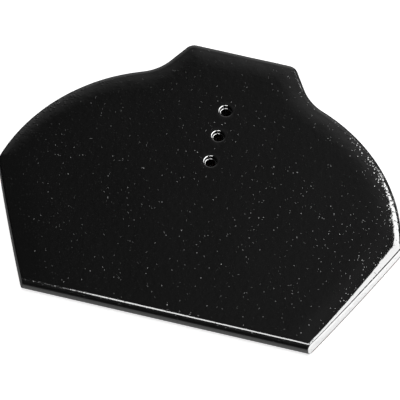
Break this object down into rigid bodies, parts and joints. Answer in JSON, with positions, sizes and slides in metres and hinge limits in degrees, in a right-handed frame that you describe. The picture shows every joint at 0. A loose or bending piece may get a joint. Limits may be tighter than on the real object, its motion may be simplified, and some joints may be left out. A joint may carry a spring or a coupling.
{
  "type": "ridge end tile",
  "caption": "Flat black-glazed clay end tile for a roof ridge: straight foot, slanting lower sides, wide rounded shoulders, flat-topped neck and a centre column of nail holes.",
  "frame": {"origin": "middle of the tile's bounding box, on the flat back it lies on", "axes": "+X across the width to the right seen from the front, +Y from the bottom edge to the neck, +Z out of the glazed front"},
  "size_m": [0.2646, 0.204, 0.012],
  "materials": {
    "glazed_clay": "glossy black glaze fired on pressed clay"
  },
  "bodies": {
    "root": {"ridge_end_tile": "glazed_clay"}
  },
  "joints": []
}
